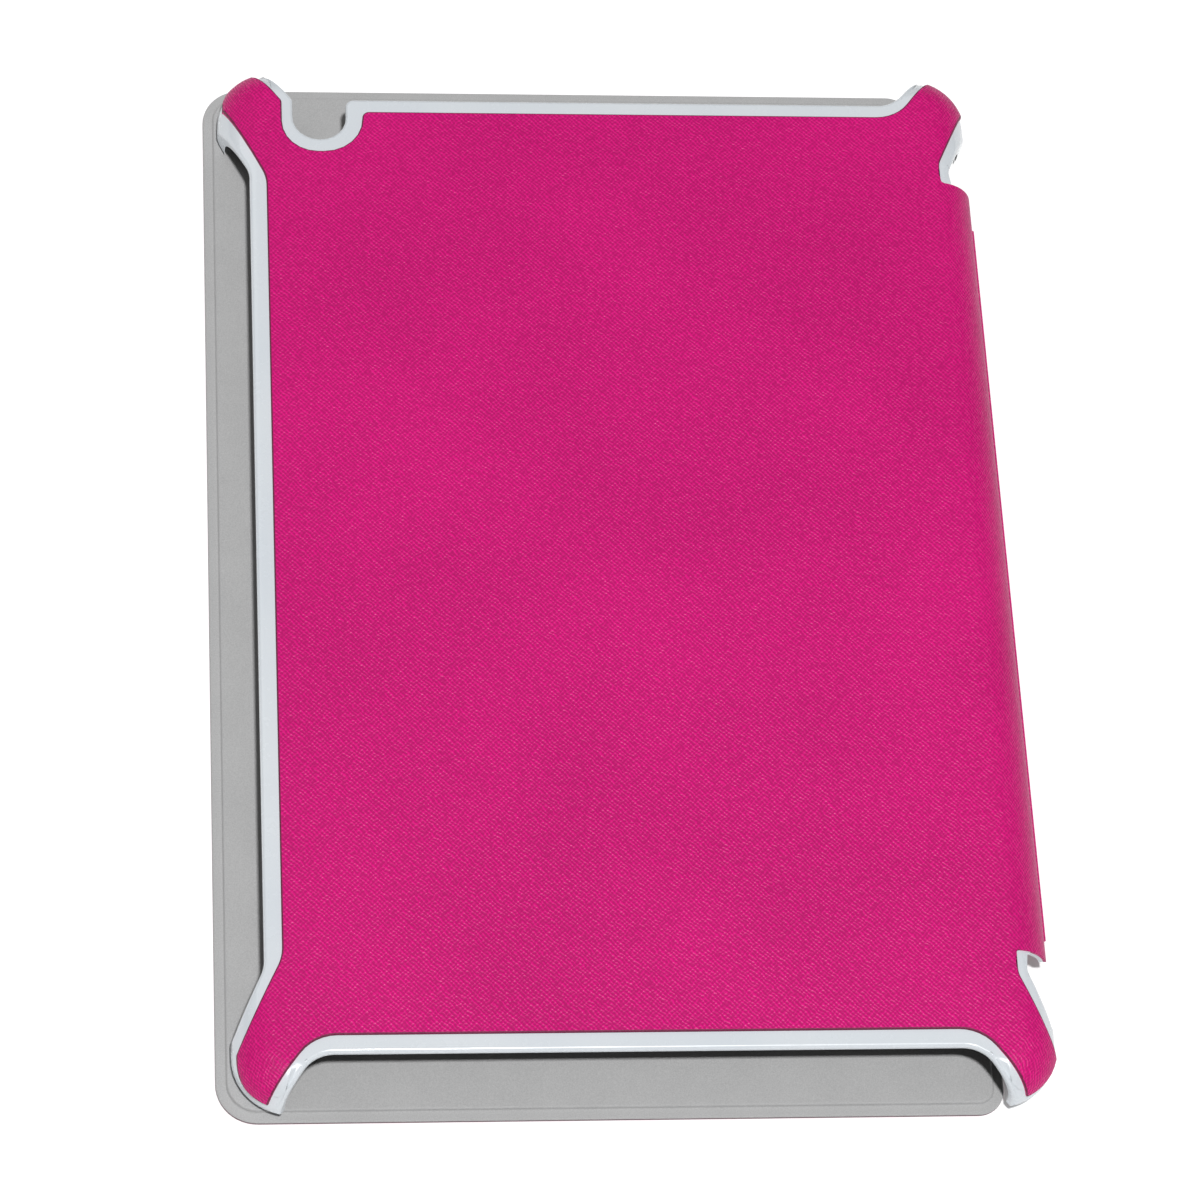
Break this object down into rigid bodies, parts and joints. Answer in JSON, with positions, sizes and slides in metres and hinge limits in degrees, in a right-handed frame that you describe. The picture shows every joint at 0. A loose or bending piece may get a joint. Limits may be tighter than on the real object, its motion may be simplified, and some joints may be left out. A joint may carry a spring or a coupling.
{
  "type": "tablet case",
  "caption": "Clip-on folio case for a small tablet: a glossy white shell with corner grips, faced with textured imitation leather that runs round the spine to a stiff lined cover.",
  "frame": {"origin": "plan centre of the shell, on the outer face of the closed cover", "axes": "+X towards the spine, +Y towards the camera end, +Z out of the shell's back"},
  "size_m": [0.1401, 0.2032, 0.0113],
  "materials": {
    "shell_plastic": "glossy white moulding",
    "case_leather": "hot pink imitation leather with a fine cross-hatched grain",
    "lining_suede": "grey microfibre suede",
    "stiff_board": "raw fibre board",
    "magnet_plating": "nickel plating"
  },
  "bodies": {
    "shell": {"back_shell": "shell_plastic", "back_skin": "case_leather"},
    "hinge_strip": {"hinge_skin": "case_leather", "hinge_lining": "lining_suede"},
    "cover": {"cover_skin": "case_leather", "cover_board": "stiff_board", "cover_lining": "lining_suede", "wake_magnet": "magnet_plating", "magnet_1": "magnet_plating", "magnet_2": "magnet_plating", "magnet_3": "magnet_plating", "magnet_4": "magnet_plating", "magnet_5": "magnet_plating", "magnet_6": "magnet_plating"}
  },
  "joints": [
    {"name": "spine_fold", "type": "hinge", "parent": "shell", "child": "hinge_strip", "pos_m": [0.0691, 0, 0.0027], "axis": [0, -1, 0], "range_deg": [0, 252.5]},
    {"name": "cover_fold", "type": "hinge", "parent": "hinge_strip", "child": "cover", "pos_m": [0.0605, 0, 0], "axis": [0, -1, 0], "range_deg": [0, 107.5]}
  ]
}
